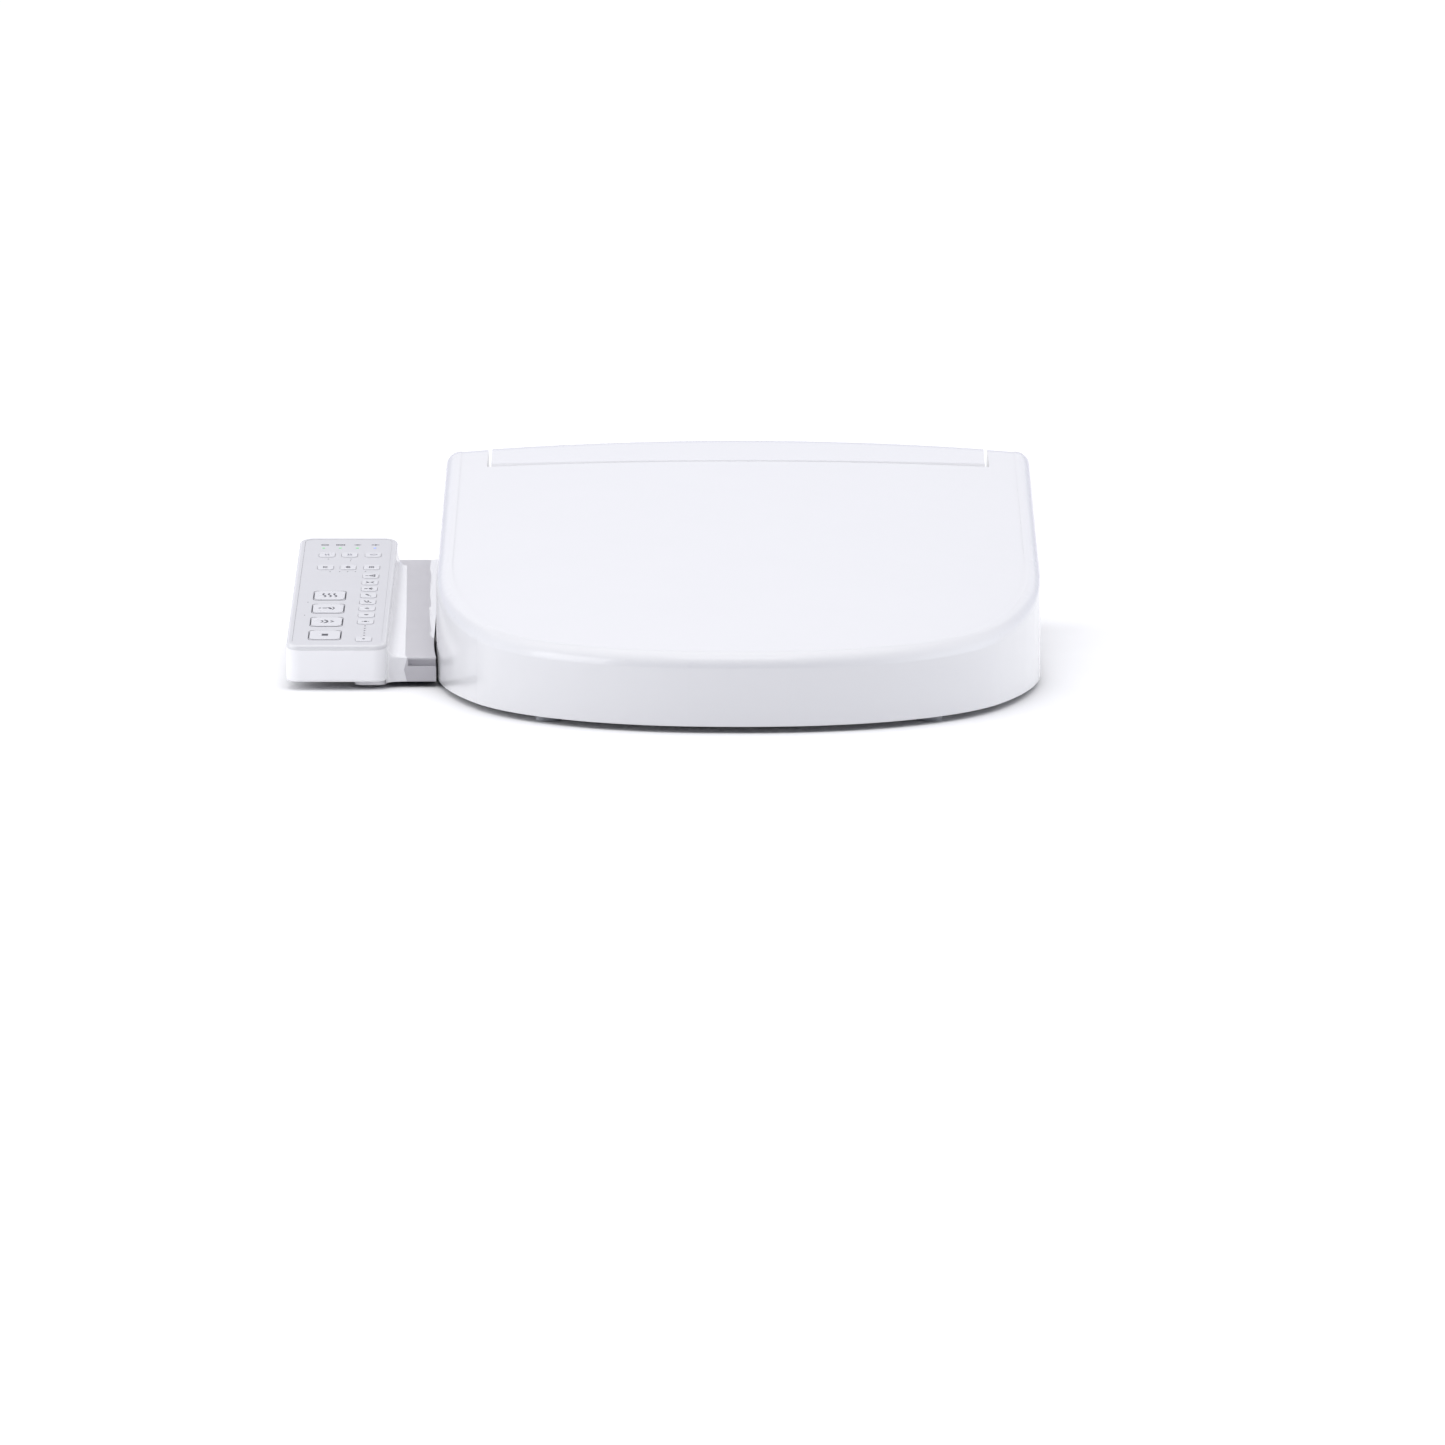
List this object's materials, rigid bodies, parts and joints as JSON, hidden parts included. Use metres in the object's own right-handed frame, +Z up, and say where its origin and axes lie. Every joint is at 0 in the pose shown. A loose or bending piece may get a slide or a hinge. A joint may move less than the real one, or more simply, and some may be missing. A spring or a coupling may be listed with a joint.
{
  "type": "electric bidet seat",
  "caption": "Electric bidet seat: a sloped lid and heated ring hinged on a rear wash-and-dry unit, with a key panel on an arm at one side.",
  "frame": {"origin": "midway between the two fixing bolts, on the plane of the bowl's rim", "axes": "+X to the right as one faces the seat, +Y back from the front edge to the hinge, +Z up"},
  "size_m": [0.483, 0.53, 0.1692],
  "materials": {
    "gloss_white": "gloss",
    "case_white": "satin",
    "key_white": "satin",
    "fascia_grey": "matte",
    "inner_plastic": "matte",
    "dark_plastic": "matte",
    "hose_grey": "satin",
    "rubber": "matte",
    "steel": "brushed",
    "circuit_board": "satin",
    "heater_foil": "satin",
    "green_light": "gloss",
    "dim_light": "gloss"
  },
  "bodies": {
    "mount": {"mounting_plate": "inner_plastic", "mount_pad": "rubber", "mounting_bolts": "steel", "bolt_retainers": "dark_plastic"},
    "unit": {"unit_lower_case": "case_white", "unit_upper_case": "gloss_white", "unit_feet": "rubber", "case_screws": "steel", "panel_case": "gloss_white", "panel_bezel": "gloss_white", "panel_fascia": "fascia_grey", "keypad_sheet": "rubber", "keypad_board": "circuit_board", "status_lights": "green_light", "level_lights": "dim_light", "main_board": "circuit_board", "water_tank": "inner_plastic", "inlet_valve": "dark_plastic", "water_inlet": "dark_plastic", "water_hose": "hose_grey", "nozzle_guide": "inner_plastic", "nozzle_motor": "steel", "dryer_housing": "dark_plastic", "dryer_motor": "steel", "dryer_duct": "inner_plastic", "hinge_dampers": "dark_plastic", "hinge_pins": "steel", "cord_gland": "rubber"},
    "seat": {"seat_upper_shell": "gloss_white", "seat_lower_shell": "case_white", "seat_heater": "heater_foil", "seat_bumpers": "rubber"},
    "lid": {"lid_shell": "gloss_white", "lid_bumpers": "rubber"},
    "nozzle": {"nozzle_wand": "steel", "nozzle_tip": "case_white"},
    "nozzle_gear": {"drive_gear": "inner_plastic"},
    "fan": {"fan_wheel": "dark_plastic"},
    "flap": {"dryer_flap": "case_white"},
    "button": {"release_button": "case_white"},
    "key_water_heat_cap": {"key_water_heat": "key_white"},
    "key_seat_heat_cap": {"key_seat_heat": "key_white"},
    "key_air_heat_cap": {"key_air_heat": "key_white"},
    "key_power_save_cap": {"key_power_save": "key_white"},
    "key_night_light_cap": {"key_night_light": "key_white"},
    "key_nozzle_clean_cap": {"key_nozzle_clean": "key_white"},
    "key_auto_cap": {"key_auto": "key_white"},
    "key_kids_cap": {"key_kids": "key_white"},
    "key_wide_wash_cap": {"key_wide_wash": "key_white"},
    "key_massage_cap": {"key_massage": "key_white"},
    "key_nozzle_forward_cap": {"key_nozzle_forward": "key_white"},
    "key_nozzle_back_cap": {"key_nozzle_back": "key_white"},
    "key_aerate_cap": {"key_aerate": "key_white"},
    "key_pressure_up_cap": {"key_pressure_up": "key_white"},
    "key_pressure_down_cap": {"key_pressure_down": "key_white"},
    "key_dry_cap": {"key_dry": "key_white"},
    "key_front_wash_cap": {"key_front_wash": "key_white"},
    "key_rear_wash_cap": {"key_rear_wash": "key_white"},
    "key_stop_cap": {"key_stop": "key_white"}
  },
  "joints": [
    {"name": "unit_slide", "type": "slide", "parent": "mount", "child": "unit", "axis": [0, -1, 0], "range_m": [0, 0.085]},
    {"name": "seat_hinge", "type": "hinge", "parent": "unit", "child": "seat", "pos_m": [0, 0.018, 0.08], "axis": [1, 0, 0], "range_deg": [-95, 0]},
    {"name": "lid_hinge", "type": "hinge", "parent": "seat", "child": "lid", "pos_m": [0, 0.018, 0.08], "axis": [-1, 0, 0], "range_deg": [0, 100]},
    {"name": "nozzle_slide", "type": "slide", "parent": "unit", "child": "nozzle", "axis": [0, -0.9848, -0.1736], "range_m": [0, 0.08]},
    {"name": "gear_turn", "type": "hinge", "parent": "unit", "child": "nozzle_gear", "pos_m": [0, -0.04359, 0.04002], "axis": [1, 0, 0], "continuous": true},
    {"name": "fan_turn", "type": "hinge", "parent": "unit", "child": "fan", "pos_m": [-0.135, -0.038, 0.056], "axis": [1, 0, 0], "continuous": true},
    {"name": "flap_hinge", "type": "hinge", "parent": "unit", "child": "flap", "pos_m": [-0.06, -0.0787, 0.0234], "axis": [-1, 0, 0], "range_deg": [0, 70]},
    {"name": "button_press", "type": "slide", "parent": "unit", "child": "button", "axis": [-1, 0, 0], "range_m": [0, 0.004], "stiffness_N_per_m": 500, "springref_m": -0.001},
    {"name": "key_water_heat_press", "type": "slide", "parent": "unit", "child": "key_water_heat_cap", "axis": [0, 0.1736, -0.9848], "range_m": [0, 0.0006], "stiffness_N_per_m": 1000, "springref_m": -0.0002},
    {"name": "key_seat_heat_press", "type": "slide", "parent": "unit", "child": "key_seat_heat_cap", "axis": [0, 0.1736, -0.9848], "range_m": [0, 0.0006], "stiffness_N_per_m": 1000, "springref_m": -0.0002},
    {"name": "key_air_heat_press", "type": "slide", "parent": "unit", "child": "key_air_heat_cap", "axis": [0, 0.1736, -0.9848], "range_m": [0, 0.0006], "stiffness_N_per_m": 1000, "springref_m": -0.0002},
    {"name": "key_power_save_press", "type": "slide", "parent": "unit", "child": "key_power_save_cap", "axis": [0, 0.1736, -0.9848], "range_m": [0, 0.0006], "stiffness_N_per_m": 1000, "springref_m": -0.0002},
    {"name": "key_night_light_press", "type": "slide", "parent": "unit", "child": "key_night_light_cap", "axis": [0, 0.1736, -0.9848], "range_m": [0, 0.0006], "stiffness_N_per_m": 1000, "springref_m": -0.0002},
    {"name": "key_nozzle_clean_press", "type": "slide", "parent": "unit", "child": "key_nozzle_clean_cap", "axis": [0, 0.1736, -0.9848], "range_m": [0, 0.0006], "stiffness_N_per_m": 1000, "springref_m": -0.0002},
    {"name": "key_auto_press", "type": "slide", "parent": "unit", "child": "key_auto_cap", "axis": [0, 0.1736, -0.9848], "range_m": [0, 0.0006], "stiffness_N_per_m": 1000, "springref_m": -0.0002},
    {"name": "key_kids_press", "type": "slide", "parent": "unit", "child": "key_kids_cap", "axis": [0, 0.1736, -0.9848], "range_m": [0, 0.0006], "stiffness_N_per_m": 1000, "springref_m": -0.0002},
    {"name": "key_wide_wash_press", "type": "slide", "parent": "unit", "child": "key_wide_wash_cap", "axis": [0, 0.1736, -0.9848], "range_m": [0, 0.0006], "stiffness_N_per_m": 1000, "springref_m": -0.0002},
    {"name": "key_massage_press", "type": "slide", "parent": "unit", "child": "key_massage_cap", "axis": [0, 0.1736, -0.9848], "range_m": [0, 0.0006], "stiffness_N_per_m": 1000, "springref_m": -0.0002},
    {"name": "key_nozzle_forward_press", "type": "slide", "parent": "unit", "child": "key_nozzle_forward_cap", "axis": [0, 0.1736, -0.9848], "range_m": [0, 0.0006], "stiffness_N_per_m": 1000, "springref_m": -0.0002},
    {"name": "key_nozzle_back_press", "type": "slide", "parent": "unit", "child": "key_nozzle_back_cap", "axis": [0, 0.1736, -0.9848], "range_m": [0, 0.0006], "stiffness_N_per_m": 1000, "springref_m": -0.0002},
    {"name": "key_aerate_press", "type": "slide", "parent": "unit", "child": "key_aerate_cap", "axis": [0, 0.1736, -0.9848], "range_m": [0, 0.0006], "stiffness_N_per_m": 1000, "springref_m": -0.0002},
    {"name": "key_pressure_up_press", "type": "slide", "parent": "unit", "child": "key_pressure_up_cap", "axis": [0, 0.1736, -0.9848], "range_m": [0, 0.0006], "stiffness_N_per_m": 1000, "springref_m": -0.0002},
    {"name": "key_pressure_down_press", "type": "slide", "parent": "unit", "child": "key_pressure_down_cap", "axis": [0, 0.1736, -0.9848], "range_m": [0, 0.0006], "stiffness_N_per_m": 1000, "springref_m": -0.0002},
    {"name": "key_dry_press", "type": "slide", "parent": "unit", "child": "key_dry_cap", "axis": [0, 0.1736, -0.9848], "range_m": [0, 0.0006], "stiffness_N_per_m": 1000, "springref_m": -0.0002},
    {"name": "key_front_wash_press", "type": "slide", "parent": "unit", "child": "key_front_wash_cap", "axis": [0, 0.1736, -0.9848], "range_m": [0, 0.0006], "stiffness_N_per_m": 1000, "springref_m": -0.0002},
    {"name": "key_rear_wash_press", "type": "slide", "parent": "unit", "child": "key_rear_wash_cap", "axis": [0, 0.1736, -0.9848], "range_m": [0, 0.0006], "stiffness_N_per_m": 1000, "springref_m": -0.0002},
    {"name": "key_stop_press", "type": "slide", "parent": "unit", "child": "key_stop_cap", "axis": [0, 0.1736, -0.9848], "range_m": [0, 0.0006], "stiffness_N_per_m": 1000, "springref_m": -0.0002}
  ],
  "couplings": [
    {"joint": "gear_turn", "follows": "nozzle_slide", "rad_per_m": -166.67}
  ]
}
